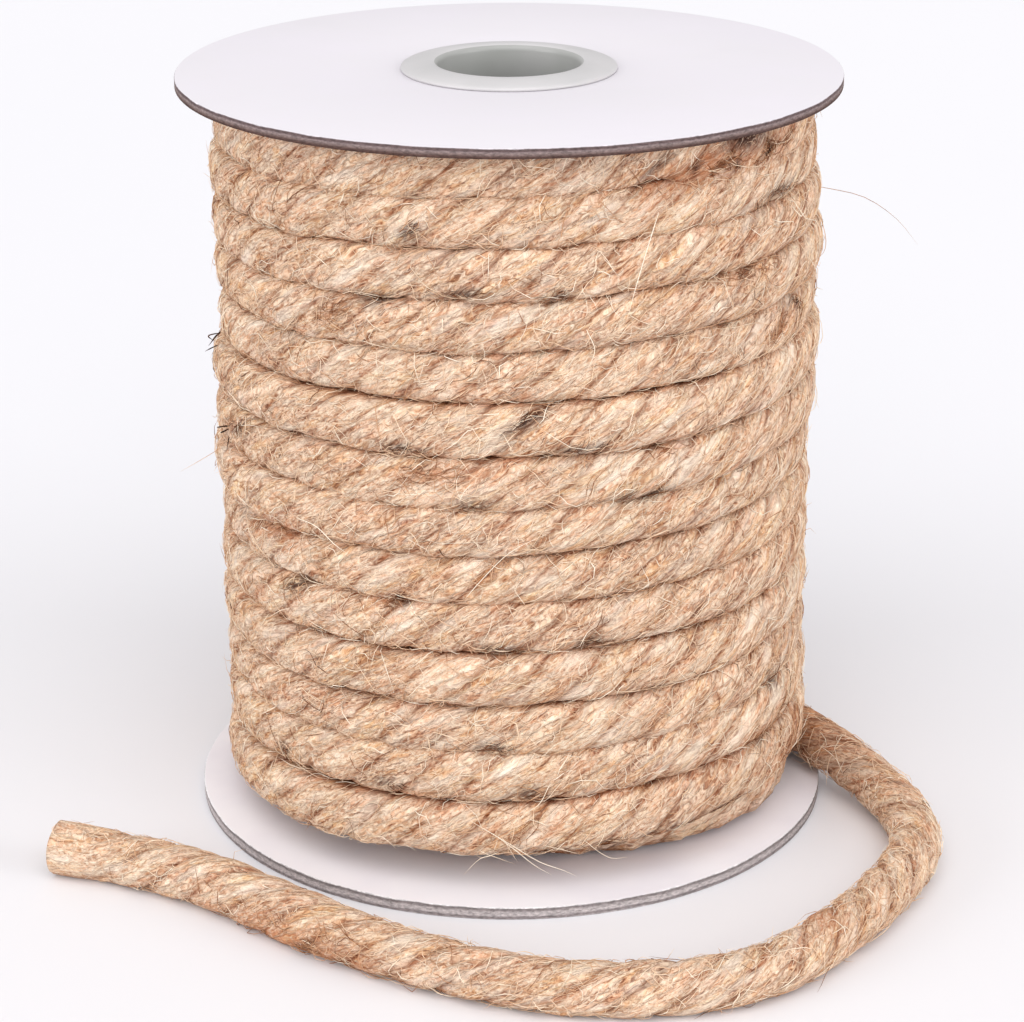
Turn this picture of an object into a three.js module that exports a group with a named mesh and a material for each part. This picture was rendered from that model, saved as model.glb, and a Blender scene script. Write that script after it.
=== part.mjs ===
// Reel of jute rope: rope wound in layers on a flanged hub, between two round boards.
// The last turn has come off and lies in a curve on the floor, as the loose end.
// Millimetres, Z up, origin on the floor under the middle of the hub. The front is -Y.

import * as THREE from "three";
import { mergeVertices } from "three/addons/utils/BufferGeometryUtils.js";

// Reel
const BOARD_RADIUS = 50;
const LOWER_BOARD = 2.0;
const UPPER_BOARD = 1.5;
const REEL_HEIGHT = 116.9;
const GAP = 0.3;
const BOARD_SEGMENTS = 56;

// Hub: a thin tube whose two ends are turned outwards into rims
const HUB_RADIUS = 12.25;
const HUB_BORE = 11.35;
const COLLAR_BORE = 10.76;
const COLLAR_DEPTH = 3.0;
const COLLAR_STEP = 0.15;
const RIM_RADIUS = 16.3;
const RIM_CREST = 1.3;
const LOWER_RIM = 0.8;
const HUB_SEGMENTS = 28;

// The upper rim's surface, from the bore over its crest to its edge; rise is above the board
const UPPER_RIM_SURFACE = [
  { radius: COLLAR_BORE, rise: -0.1 },
  { radius: 11.0, rise: 0.7 },
  { radius: 11.5, rise: 1.15 },
  { radius: 12.4, rise: RIM_CREST },
  { radius: 13.8, rise: 1.15 },
  { radius: 15.4, rise: 0.8 },
  { radius: RIM_RADIUS, rise: 0.5 },
];

// The lower rim's surface, from its edge to the bore, flush with the lower board's underside
const LOWER_RIM_SURFACE = [
  { radius: RIM_RADIUS, height: 0 },
  { radius: 12.2, height: 0 },
  { radius: 11.2, height: 0.35 },
  { radius: COLLAR_BORE, height: 1.0 },
];

// Rope
const ROPE_DIAMETER = 7.8;
const STRANDS = 3;
const LAY = 23;

// Winding: one row for each turn of the outer layer, from the bottom up.
// height is the middle of the turn at the front of the reel; left and right are how far
// its crest stands out from the reel's axis on those two sides.
const TURNS = [
  { height: 12.4, left: 45.7, right: 47.2 },
  { height: 21.2, left: 45.3, right: 47.0 },
  { height: 28.1, left: 45.1, right: 46.7 },
  { height: 36.1, left: 45.5, right: 46.9 },
  { height: 44.5, left: 45.3, right: 46.6 },
  { height: 51.9, left: 45.0, right: 46.5 },
  { height: 59.7, left: 46.2, right: 46.5 },
  { height: 66.7, left: 45.4, right: 47.2 },
  { height: 74.8, left: 45.6, right: 47.7 },
  { height: 82.6, left: 44.5, right: 46.7 },
  { height: 90.1, left: 44.8, right: 47.5 },
  { height: 97.4, left: 45.1, right: 47.2 },
  { height: 104.8, left: 45.3, right: 46.1 },
  { height: 111.6, left: 44.7, right: 45.9 },
];
const PITCH = 7.6;
const FRONT = -Math.PI / 2;
const DEPARTURE = Math.PI / 6;
const FIRST_TURN = (DEPARTURE - FRONT) / (2 * Math.PI) - 1;
const ROWS = TURNS.length + 1;
const STATIONS = 40;
const VALLEY_DEPTH = 2.8;
const ROW_FACETS = 5;
const ROW_ARC = THREE.MathUtils.degToRad(72);
const WOUND_BOTTOM = LOWER_BOARD + GAP;
const WOUND_TOP = REEL_HEIGHT - UPPER_BOARD - GAP;
const WOUND_BORE = HUB_RADIUS + GAP;
const TOP_EDGE_RADIUS = 43;
const TOP_BLEND = 4;
const INNER_FOOT_RADIUS = 35.2;
const INNER_LOW_RADIUS = 36.9;
const INNER_HIGH_RADIUS = 37.4;
const INNER_BULGE_HEIGHT = 0.35;
const UNDERSIDE_RADIUS = 41;
const UNDERSIDE_DROP = 3.85;
const UNDERSIDE_STEP = 0.5;
const UNDERSIDE_BLEND_FROM = 0.75;
const LAYER_START = { from: 13.02, to: 13.18, left: 0.2 };

// Places of some points in the winding's outline
const [FOOT, INNER_LOW, INNER_HIGH, FIRST_CREASE] = [1, 2, 3, 4 + ROW_FACETS];

// Loose end: points of its middle line, from where it leaves the winding to its cut end
const LOOSE_ROUTE = [
  [36.4, 20.55, 6.5],
  [41.0, 12.8, 6.5],
  [45.5, 5.6, 6.4],
  [49.9, -1.3, 6.2],
  [54.2, -7.9, 5.5],
  [57.7, -13.6, 4.7],
  [60.2, -19.2, 4.1],
  [61.7, -25.2, 3.9],
  [62.0, -30.5, 3.9],
  [61.1, -36.5, 3.9],
  [57.3, -45.2, 3.9],
  [51.9, -54.3, 3.9],
  [46.0, -62.0, 3.9],
  [39.6, -69.0, 3.9],
  [32.2, -74.0, 3.9],
  [24.0, -76.6, 3.9],
  [15.3, -77.2, 3.9],
  [7.0, -76.4, 3.9],
  [-1.4, -74.2, 3.9],
  [-9.9, -70.3, 3.9],
  [-18.8, -65.0, 3.9],
  [-27.5, -58.9, 3.9],
  [-36.9, -51.2, 3.9],
  [-46.4, -43.9, 3.9],
  [-55.5, -38.9, 3.9],
  [-63.0, -35.8, 3.9],
  [-70.3, -33.3, 3.9],
];
const LOOSE_SIDES = 12;
const STEPS_PER_LAY = 8;
const STRAND_RELIEF = 0.2;

const boardMaterial = new THREE.MeshStandardMaterial({ color: 0xece9ee, roughness: 0.85, metalness: 0 });
const hubMaterial = new THREE.MeshStandardMaterial({ color: 0xd2d0ce, roughness: 0.45, metalness: 0 });
const ropeMaterial = new THREE.MeshStandardMaterial({ color: 0xd7b48c, roughness: 0.95, metalness: 0 });

const { clamp, lerp, smoothstep } = THREE.MathUtils;

// A ring turned about Z from a closed outline of [radius, height] points.
function turned(outline, segments) {
  const closed = [...outline, outline[0]];
  const profile = closed.map(([radius, height]) => new THREE.Vector2(radius, height));
  return new THREE.LatheGeometry(profile, segments).rotateX(Math.PI / 2);
}

// A geometry from points and triangles; points that coincide are merged, and the
// triangles that this closes up are dropped.
function solidFrom(points, triangles) {
  const loose = new THREE.BufferGeometry();
  loose.setAttribute("position", new THREE.Float32BufferAttribute(points.flat(), 3));
  loose.setIndex(triangles.flat());
  const merged = mergeVertices(loose, 1e-4);
  const index = merged.getIndex().array;
  const kept = [];
  for (let i = 0; i < index.length; i += 3) {
    const [a, b, c] = [index[i], index[i + 1], index[i + 2]];
    if (a !== b && b !== c && c !== a) kept.push(a, b, c);
  }
  merged.setIndex(kept);
  merged.computeVertexNormals();
  return merged;
}

function lowerBoard() {
  const recess = LOWER_RIM + GAP;
  const recessRadius = RIM_RADIUS + GAP;
  const hole = HUB_RADIUS + GAP;
  return turned(
    [
      [recessRadius, 0],
      [BOARD_RADIUS, 0],
      [BOARD_RADIUS, LOWER_BOARD],
      [hole, LOWER_BOARD],
      [hole, recess],
      [recessRadius, recess],
    ],
    BOARD_SEGMENTS,
  );
}

function upperBoard() {
  const underside = REEL_HEIGHT - UPPER_BOARD;
  const hole = HUB_RADIUS + GAP;
  return turned(
    [
      [hole, underside],
      [BOARD_RADIUS, underside],
      [BOARD_RADIUS, REEL_HEIGHT],
      [hole, REEL_HEIGHT],
    ],
    BOARD_SEGMENTS,
  );
}

// The upper rim rises to a rounded crest; the lower one lies flush in the lower board.
function hub() {
  const collarTop = REEL_HEIGHT + RIM_CREST - COLLAR_DEPTH;
  return turned(
    [
      [HUB_RADIUS, LOWER_RIM],
      [RIM_RADIUS, LOWER_RIM],
      ...LOWER_RIM_SURFACE.map(({ radius, height }) => [radius, height]),
      [COLLAR_BORE, COLLAR_DEPTH - COLLAR_STEP],
      [HUB_BORE, COLLAR_DEPTH],
      [HUB_BORE, collarTop - COLLAR_STEP],
      [COLLAR_BORE, collarTop],
      ...UPPER_RIM_SURFACE.map(({ radius, rise }) => [radius, REEL_HEIGHT + rise]),
      [RIM_RADIUS, REEL_HEIGHT + GAP],
      [HUB_RADIUS, REEL_HEIGHT + GAP],
    ].reverse(),
    HUB_SEGMENTS,
  );
}

// Height of the middle of the outer layer's rope. turn counts whole turns from the
// front, upwards and counter-clockwise seen from above.
function turnHeight(turn) {
  const last = TURNS.length - 1;
  if (turn <= 0) return TURNS[0].height + turn * PITCH;
  if (turn >= last) return TURNS[last].height + (turn - last) * PITCH;
  const row = Math.floor(turn);
  return lerp(TURNS[row].height, TURNS[row + 1].height, turn - row);
}

// How far the rope's crest stands out from the axis at that turn.
function crestRadius(turn) {
  const sides = TURNS.flatMap(({ left, right }) => [left, right]);
  const place = clamp((turn + 0.25) / 0.5, 0, sides.length - 1);
  const side = Math.min(Math.floor(place), sides.length - 2);
  return lerp(sides[side], sides[side + 1], smoothstep(place - side, 0, 1));
}

// The crease between the rope at that turn and the rope one turn above it.
function crease(turn) {
  const height = Math.min(WOUND_TOP, (turnHeight(turn) + turnHeight(turn + 1)) / 2);
  const between = (crestRadius(turn) + crestRadius(turn + 1)) / 2 - VALLEY_DEPTH;
  const nearTop = smoothstep(height, WOUND_TOP - TOP_BLEND, WOUND_TOP);
  return [lerp(between, TOP_EDGE_RADIUS, nearTop), height];
}

// The lowest turn's underside. It becomes a crease again where the loose end sets out.
function underside(turn) {
  const toCrease = smoothstep(turn - FIRST_TURN, UNDERSIDE_BLEND_FROM, 1);
  const [radius, height] = crease(turn - 1);
  return [
    lerp(UNDERSIDE_RADIUS, radius, toCrease),
    lerp(turnHeight(turn) - UNDERSIDE_DROP, height, toCrease),
  ];
}

// Points over one turn's round face, from the crease below it to the one above it.
function rowFace(turn, below, above) {
  const full = clamp((above[1] - below[1]) / ROPE_DIAMETER, 0, 1);
  const emerging = 1 - smoothstep(turn, LAYER_START.from, LAYER_START.to) * (1 - LAYER_START.left);
  const stand = (crestRadius(turn) - (below[0] + above[0]) / 2) * full * emerging;
  const points = [];
  for (let facet = 1; facet < ROW_FACETS; facet++) {
    const share = facet / ROW_FACETS;
    const angle = lerp(-ROW_ARC, ROW_ARC, share);
    const across = 0.5 + Math.sin(angle) / Math.sin(ROW_ARC) / 2;
    const outward = (Math.cos(angle) - Math.cos(ROW_ARC)) / (1 - Math.cos(ROW_ARC));
    points.push([
      lerp(below[0], above[0], share) + stand * outward,
      lerp(below[1], above[1], across),
    ]);
  }
  return [...points, above];
}

// The winding's outline at one station round the reel, as [radius, height] points.
function windingOutline(station) {
  const start = FIRST_TURN + station / STATIONS;
  const low = underside(start);
  const bulge = lerp(WOUND_BOTTOM, low[1], INNER_BULGE_HEIGHT);
  const outline = [
    [WOUND_BORE, WOUND_BOTTOM],
    [INNER_FOOT_RADIUS, WOUND_BOTTOM],
    [INNER_LOW_RADIUS, bulge],
    [INNER_HIGH_RADIUS, low[1] - UNDERSIDE_STEP],
    low,
  ];
  let below = low;
  for (let row = 0; row < ROWS; row++) {
    const above = crease(start + row);
    outline.push(...rowFace(start + row, below, above));
    below = above;
  }
  return [...outline, [WOUND_BORE, WOUND_TOP]];
}

// The wound rope as one solid. Its turns climb as a helix, so one turn's end meets the
// next turn's start, and the step at the bottom is closed by the first turn's cut face.
function winding() {
  const points = [];
  const triangles = [];
  let size = 0;
  for (let station = 0; station <= STATIONS; station++) {
    const angle = DEPARTURE + (2 * Math.PI * station) / STATIONS;
    const outline = windingOutline(station);
    size = outline.length;
    for (const [radius, height] of outline) {
      points.push([radius * Math.cos(angle), radius * Math.sin(angle), height]);
    }
  }
  for (let station = 0; station < STATIONS; station++) {
    for (let point = 0; point < size; point++) {
      const a = station * size + point;
      const b = station * size + ((point + 1) % size);
      triangles.push([a, a + size, b], [b, a + size, b + size]);
    }
  }
  const cutFace = [];
  for (let point = FOOT; point <= FIRST_CREASE; point++) cutFace.push(point);
  const end = STATIONS * size;
  cutFace.push(end + INNER_HIGH);
  for (let corner = 0; corner + 1 < cutFace.length; corner++) {
    triangles.push([end + INNER_LOW, cutFace[corner], cutFace[corner + 1]]);
  }
  return solidFrom(points, triangles);
}

// The loose end: a round section with three raised strands that turn left-handed.
function looseEnd() {
  const curve = new THREE.CatmullRomCurve3(
    LOOSE_ROUTE.map(([x, y, z]) => new THREE.Vector3(x, y, z)),
    false,
    "centripetal",
  );
  const length = curve.getLength();
  const steps = Math.round((length / LAY) * STEPS_PER_LAY);
  const frames = curve.computeFrenetFrames(steps, false);
  const points = [];
  const triangles = [];
  for (let step = 0; step <= steps; step++) {
    const middle = curve.getPointAt(step / steps);
    const twist = (-2 * Math.PI * length * step) / steps / LAY;
    for (let side = 0; side < LOOSE_SIDES; side++) {
      const round = (2 * Math.PI * side) / LOOSE_SIDES;
      const radius = ROPE_DIAMETER / 2 - STRAND_RELIEF * (1 - Math.cos(STRANDS * round));
      const point = middle
        .clone()
        .addScaledVector(frames.normals[step], radius * Math.cos(round + twist))
        .addScaledVector(frames.binormals[step], radius * Math.sin(round + twist));
      points.push([point.x, point.y, Math.max(point.z, 0)]);
    }
  }
  for (let step = 0; step < steps; step++) {
    for (let side = 0; side < LOOSE_SIDES; side++) {
      const next = (side + 1) % LOOSE_SIDES;
      const [a, b] = [step * LOOSE_SIDES + side, step * LOOSE_SIDES + next];
      triangles.push([a, b, a + LOOSE_SIDES], [b, b + LOOSE_SIDES, a + LOOSE_SIDES]);
    }
  }
  const [start, end] = [points.length, points.length + 1];
  const last = steps * LOOSE_SIDES;
  points.push(curve.getPointAt(0).toArray(), curve.getPointAt(1).toArray());
  for (let side = 0; side < LOOSE_SIDES; side++) {
    const next = (side + 1) % LOOSE_SIDES;
    triangles.push([start, next, side], [end, last + side, last + next]);
  }
  return solidFrom(points, triangles);
}

function piece(name, geometry, material) {
  const mesh = new THREE.Mesh(geometry, material);
  mesh.name = name;
  return mesh;
}

const reel = new THREE.Group();
reel.add(
  piece("lower_flange", lowerBoard(), boardMaterial),
  piece("upper_flange", upperBoard(), boardMaterial),
  piece("hub", hub(), hubMaterial),
  piece("wound_rope", winding(), ropeMaterial),
  piece("loose_end", looseEnd(), ropeMaterial),
);

export default reel;
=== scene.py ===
import math

import bpy
import numpy as np
from mathutils import Matrix


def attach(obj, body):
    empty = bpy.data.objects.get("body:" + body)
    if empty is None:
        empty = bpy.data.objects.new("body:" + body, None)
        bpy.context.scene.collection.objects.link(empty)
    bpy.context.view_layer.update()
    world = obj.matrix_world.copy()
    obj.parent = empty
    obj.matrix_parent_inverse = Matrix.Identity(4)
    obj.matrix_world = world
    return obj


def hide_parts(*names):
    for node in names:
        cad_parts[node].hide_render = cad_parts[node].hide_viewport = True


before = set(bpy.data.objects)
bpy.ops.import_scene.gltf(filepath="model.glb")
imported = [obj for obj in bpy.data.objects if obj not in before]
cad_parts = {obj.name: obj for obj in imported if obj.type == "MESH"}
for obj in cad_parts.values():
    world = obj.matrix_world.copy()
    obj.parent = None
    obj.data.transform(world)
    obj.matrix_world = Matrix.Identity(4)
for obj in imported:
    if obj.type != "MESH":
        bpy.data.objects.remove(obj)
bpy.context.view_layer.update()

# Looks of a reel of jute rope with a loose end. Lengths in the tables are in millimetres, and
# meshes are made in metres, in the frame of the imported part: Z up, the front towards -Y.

MM = 0.001
TAU = 2 * math.pi

# Reel
BOARD_RADIUS = 50.0
LOWER_BOARD = 2.0
UPPER_BOARD = 1.5
REEL_HEIGHT = 116.9
HUB_RADIUS = 12.25
HUB_BORE = 11.35
COLLAR_BORE = 10.76

# Rope
ROPE_RADIUS = 3.9
ROPE_DIAMETER = 7.8
LAY = 23.0
PITCH = 7.6
FRONT = -math.pi / 2
DEPARTURE = math.pi / 6
FIRST_TURN = (DEPARTURE - FRONT) / TAU - 1
FIBRE_TWIST = 0.136
CREASE = 0.13
# A wound turn is pressed square by its neighbours: its section's exponent, and the least and
# most that it stretches up and down to meet them
SQUARE = 3.1
PRESSED = (1.0, 1.16)
# Shade is painted on it where it turns away towards the next turn, into the gap between turns. The
# painted shade grows between these values of minus the cosine of the angle from outwards
MEETING = (-0.62, -0.2)
# Painted shade on the rope where it leaves the winding: how dark it is there
START_SHADE = 0.4

# One row for each turn of the outer layer: height of its middle at the front, and how far
# its crest stands out from the axis on the left and on the right.
TURNS = np.array([
    [12.0, 45.7, 47.2],
    [21.2, 45.3, 47.0],
    [28.1, 45.1, 46.7],
    [36.1, 45.5, 46.9],
    [44.5, 45.3, 46.6],
    [51.9, 45.0, 46.5],
    [59.7, 46.2, 46.5],
    [66.7, 45.4, 47.2],
    [74.8, 45.6, 47.7],
    [82.6, 44.5, 46.7],
    [90.1, 44.8, 47.5],
    [97.4, 45.1, 47.2],
    [104.8, 45.3, 46.1],
    [111.6, 44.7, 45.9],
])

# Between these turns the outer layer's rope rises against the upper board and dives inwards
RISE_FROM, RISE_TO, RISE = 13.02, 13.15, 5.2
DIVE_FROM, DIVE_TO = 13.1, 13.2
# Then it winds down the layer beneath: that layer's radius, its top and lowest heights, and turns
INNER_RADIUS = 33.5
INNER_TOP = 111.3
INNER_LOW = 7.0
INNER_FROM = 13.25
INNER_END = 27.36
# Its lowest turn bulges out on the right, below the first turn of the outer layer
BULGE_FROM, BULGE_TO, BULGE = 27.0, 27.19, 7.8
# Then its end is tucked in under the outer layer
TUCK_FROM, TUCK_TO, TUCK = 27.22, 27.34, 9.0
# How much steeper the outer layer's first turn rises than the others, on the left
FIRST_RISE = 1.6

# On the right, beside the outer layer's end, the rope of the layer beneath stands out at the top:
# angle from the front in degrees, distance of its middle from the axis, height
START_ROUTE = (
    (8, 33.5, 110.9), (18, 35.2, 110.9), (28, 38.6, 111.0), (37, 40.8, 110.8), (44, 41.3, 110.2),
    (52, 41.6, 110.3), (60, 42.0, 111.4), (75, 42.2, 112.0), (90, 41.9, 112.0),
    (105, 40.4, 111.9), (120, 37.6, 111.6), (135, 34.8, 111.4),
)

# Loose end: points of its middle line, from where it leaves the winding to its cut end
LOOSE_ROUTE = [
    (36.4, 20.55, 6.5), (41.0, 12.8, 6.5), (45.5, 5.6, 6.4), (49.9, -1.3, 6.2),
    (54.2, -7.9, 5.5), (57.7, -13.6, 4.7), (60.2, -19.2, 4.1), (61.7, -25.2, 3.9),
    (62.0, -30.5, 3.9), (61.1, -36.5, 3.9), (57.3, -45.2, 3.9), (51.9, -54.3, 3.9),
    (46.0, -62.0, 3.9), (39.6, -69.0, 3.9), (32.2, -74.0, 3.9), (24.0, -76.6, 3.9),
    (15.3, -77.2, 3.9), (7.0, -76.4, 3.9), (-1.4, -74.2, 3.9), (-9.9, -70.3, 3.9),
    (-18.8, -65.0, 3.9), (-27.5, -58.9, 3.9), (-36.9, -51.2, 3.9), (-46.4, -43.9, 3.9),
    (-55.5, -38.9, 3.9), (-63.0, -35.8, 3.9), (-69.3, -33.7, 3.9),
]

# Rusty places on the winding: angle from the front in degrees, height, half length along the
# fibres, half width, slope in degrees, strength
STAINS = (
    (36, 110.4, 8.5, 2.3, 6, 1.0),
    (46, 110.8, 6.0, 2.2, 8, 1.0),
    (58, 111.5, 7.0, 2.6, 10, 0.55),
    (-15, 68.3, 6.0, 1.3, 6, 0.8),
    (-49, 54.5, 6.5, 2.6, 8, 0.65),
    (-25, 47.3, 4.0, 1.4, 10, 0.5),
    (-35, 90.0, 3.5, 1.3, 20, 0.35),
    (47, 94.0, 6.0, 1.2, 8, 0.4),
    (58, 84.0, 5.0, 1.6, 12, 0.45),
    (53, 18.6, 6.5, 1.5, 12, 0.6),
    (67, 12.0, 6.0, 2.6, 14, 0.6),
    (30, 71.0, 4.0, 0.9, 10, 0.35),
)
# Dark flecks in the fibre, the same but for the strength
FLECKS = (
    (-18, 103.2, 1.6, 1.2, 28),
    (3, 76.8, 4.4, 1.0, 28),
    (-25, 93.2, 2.8, 0.8, 10),
    (-7, 64.1, 2.4, 0.9, 0),
    (21, 64.3, 1.8, 0.9, 25),
    (-45, 46.4, 3.6, 0.9, 22),
    (-21, 48.2, 2.0, 0.9, -30),
    (-24, 18.7, 2.0, 0.9, 0),
    (3.5, 18.7, 2.0, 1.1, 10),
    (61, 26.4, 3.2, 1.0, -22),
    (58, 104.2, 5.5, 0.7, 3),
    (27, 112.0, 3.0, 0.7, 32),
    (49.0, 113.3, 5.5, 1.9, 4),
    (55, 110.6, 1.5, 1.0, 60),
    (8, 94.8, 1.6, 0.9, 0),
    (-4, 25.8, 2.4, 0.9, 0),
    (15, 42.1, 2.4, 0.8, 4),
    (-3, 41.6, 3.0, 0.7, 0),
    (36, 110.6, 1.4, 1.1, 70),
    (45, 110.0, 1.1, 1.4, 80),
    (65, 86.0, 1.8, 0.9, -15),
    (-65, 66.5, 3.5, 0.9, 12),
    (-50, 18.2, 1.6, 0.9, 0),
    (26, 63.9, 3.4, 0.7, 6),
    (-20, 72.0, 3.6, 0.6, 0),
    (12, 72.2, 3.6, 0.6, 2),
    (-8, 95.0, 4.0, 0.6, 0),
    (5, 9.1, 4.0, 0.4, 2),
    (17, 9.4, 4.0, 0.4, 3),
    (30, 9.8, 5.0, 0.45, 3),
    (44, 10.2, 5.0, 0.45, 3),
)
# Loose fibres in each fleck and in each rusty place
FLECK_FIBRES = 14
STAIN_FIBRES = 60
# Stains on the loose end: distance from its start, angle round the rope, half length, strength
LOOSE_STAINS = ((178.0, -0.9, 13.0, 1.0), (96.0, 1.6, 3.0, 0.7))

rng = np.random.default_rng(6758)


def pressed(angle, up, down):
    """How far a pressed section reaches at this angle from outwards, against a round one. up
    and down are its stretches in height; angles up to half a turn point down."""
    tall = np.where(np.sin(angle) > 0, down, up)
    across, high = np.abs(np.cos(angle)), np.abs(np.sin(angle)) / tall
    return (across**SQUARE + high**SQUARE) ** (-1 / SQUARE)


def smoothstep(x, low, high):
    t = np.clip((x - low) / (high - low), 0, 1)
    return t * t * (3 - 2 * t)


def wander(x, spacing, seed, rows=1):
    """Smooth random values from -1 to 1 along x, with a new value each spacing. rows gives
    that many independent lines, one a column."""
    table = np.random.default_rng(seed).uniform(-1, 1, (4096, rows))
    at = np.asarray(x, float) / spacing + 7
    low = np.floor(at).astype(int)
    part = (at - low)[:, None]
    part = part * part * (3 - 2 * part)
    return table[low % 4096] * (1 - part) + table[(low + 1) % 4096] * part


def unit(v):
    return v / np.maximum(np.linalg.norm(v, axis=-1, keepdims=True), 1e-12)


class Line:
    """The middle line of a rope, with evenly spaced points and a frame at each: along, out
    and across. out is the given direction, made square to the line."""

    def __init__(self, points, outward, step):
        length = np.concatenate([[0], np.cumsum(np.linalg.norm(np.diff(points, axis=0), axis=1))])
        count = int(round(length[-1] / step)) + 1
        self.s = np.linspace(0, length[-1], count)
        self.p = self._at(self.s, length, points)
        self.along = unit(np.gradient(self.p, axis=0))
        out = self._at(self.s, length, outward)
        out = out - self.along * (out * self.along).sum(1, keepdims=True)
        self.out = unit(out)
        self.across = np.cross(self.along, self.out)

    @staticmethod
    def _at(s, length, values):
        return np.stack([np.interp(s, length, values[:, k]) for k in range(3)], axis=1)

    def place(self, s, angle, radius):
        """Points at these distances along, angles round and distances from the line."""
        flat = np.clip(s.ravel(), 0, self.s[-1])
        p, out, across = (self._at(flat, self.s, v) for v in (self.p, self.out, self.across))
        turn = angle.reshape(-1, 1)
        away = radius.reshape(-1, 1)
        found = p + away * (unit(out) * np.cos(turn) + unit(across) * np.sin(turn))
        return found.reshape(s.shape + (3,))


# Winding

def turn_height(turn):
    last = len(TURNS) - 1
    height = np.interp(turn, np.arange(len(TURNS)), TURNS[:, 0])
    first = np.maximum(TURNS[0, 0] + FIRST_RISE * turn * PITCH, LOOSE_ROUTE[0][2] + 0.2)
    height = np.where(turn < 0, first, height)
    return np.where(turn > last, TURNS[last, 0] + RISE * smoothstep(turn, RISE_FROM, RISE_TO), height)


def neighbours(turn):
    """How far turns stretch up and down to meet the next ones."""
    here = turn_height(turn)
    up = (turn_height(turn + 1) - here) / ROPE_DIAMETER
    down = (here - turn_height(turn - 1)) / ROPE_DIAMETER
    up = np.where(turn > len(TURNS) - 2, PRESSED[0], up)
    down = np.where(turn < FIRST_TURN + 1, PRESSED[0], down)
    tight = 0.035 + 0.08 * wander(np.ravel(turn), 0.027, 14, 2)
    up = np.clip(up, *PRESSED) + tight[:, 0].reshape(np.shape(turn))
    return up, np.clip(down, *PRESSED) + tight[:, 1].reshape(np.shape(turn))


def crest_radius(turn):
    sides = TURNS[:, 1:].ravel()
    place = np.clip((turn + 0.25) / 0.5, 0, len(sides) - 1)
    side = np.minimum(np.floor(place).astype(int), len(sides) - 2)
    part = smoothstep(place - side, 0, 1)
    return sides[side] * (1 - part) + sides[side + 1] * part


def winding_line():
    """The rope's middle line: up the outer layer, in under the upper board, and down the
    layer beneath, which ends on the lower board."""
    descent = (INNER_TOP - INNER_LOW) / PITCH
    turn = np.arange(FIRST_TURN, INNER_END, 1 / 720)
    inside = smoothstep(turn, DIVE_FROM, DIVE_TO)
    radius = (crest_radius(turn) - ROPE_RADIUS) * (1 - inside) + INNER_RADIUS * inside
    radius += BULGE * smoothstep(turn, BULGE_FROM, BULGE_TO)
    radius -= TUCK * smoothstep(turn, TUCK_FROM, TUCK_TO)
    down = np.clip(turn - INNER_FROM, 0, descent)
    height = np.where(turn < INNER_FROM, turn_height(turn), INNER_TOP - PITCH * down)
    low = 1 - smoothstep(turn, FIRST_TURN, FIRST_TURN + 0.1)
    height = height - low * (turn_height(np.array([FIRST_TURN]))[0] - LOOSE_ROUTE[0][2])
    angle = FRONT + TAU * turn
    out = np.stack([np.cos(angle), np.sin(angle), 0 * angle], 1)
    begun = smoothstep(turn, FIRST_TURN, FIRST_TURN + 0.1)
    radius += 0.25 * wander(turn, 0.055, 11)[:, 0] * begun
    height += 0.16 * wander(turn, 0.06, 12)[:, 0] * begun
    points = radius[:, None] * out
    points[:, 2] = height
    return points, out, turn


def catmull_rom(points, per_span=24):
    """A centripetal Catmull-Rom curve through the points."""
    p = np.asarray(points, float)
    p = np.vstack([2 * p[0] - p[1], p, 2 * p[-1] - p[-2]])
    found = []
    for i in range(1, len(p) - 2):
        a, b, c, d = p[i - 1 : i + 3]
        knots = np.cumsum([0] + [np.linalg.norm(y - x) ** 0.5 for x, y in ((a, b), (b, c), (c, d))])
        t = np.linspace(knots[1], knots[2], per_span, endpoint=False)[:, None]
        ab, bc, cd = (
            (x * (k1 - t) + y * (t - k0)) / (k1 - k0)
            for x, y, k0, k1 in (
                (a, b, knots[0], knots[1]),
                (b, c, knots[1], knots[2]),
                (c, d, knots[2], knots[3]),
            )
        )
        abc = (ab * (knots[2] - t) + bc * (t - knots[0])) / (knots[2] - knots[0])
        bcd = (bc * (knots[3] - t) + cd * (t - knots[1])) / (knots[3] - knots[1])
        found.append((abc * (knots[2] - t) + bcd * (t - knots[1])) / (knots[2] - knots[1]))
    found.append(p[-2][None])
    return np.vstack(found)


# Meshes

def mesh_object(name, points, faces, materials, smooth=True, values=()):
    """A new object from points in millimetres. values are (name, numbers) for each point, a
    number or a vector each."""
    mesh = bpy.data.meshes.new(name)
    mesh.from_pydata((np.asarray(points) * MM).tolist(), [], faces)
    mesh.update()
    mesh.shade_smooth() if smooth else mesh.shade_flat()
    for key, numbers in values:
        flat = np.asarray(numbers, np.float32)
        kind, field = ("FLOAT", "value") if flat.ndim == 1 else ("FLOAT_VECTOR", "vector")
        mesh.attributes.new(key, kind, "POINT").data.foreach_set(field, flat.ravel())
    for material in materials:
        mesh.materials.append(material)
    made = bpy.data.objects.new(name, mesh)
    bpy.context.scene.collection.objects.link(made)
    return made


def tube_faces(rings, columns):
    """Faces of a closed tube whose points go round ring by ring, with a flat cap each end."""
    a = (np.arange(rings - 1)[:, None] * columns + np.arange(columns)).ravel()
    b = (np.arange(rings - 1)[:, None] * columns + (np.arange(columns) + 1) % columns).ravel()
    faces = np.stack([a, b, b + columns, a + columns], 1).tolist()
    faces.append(list(range(columns))[::-1])
    faces.append([(rings - 1) * columns + k for k in range(columns)])
    return faces


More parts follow.
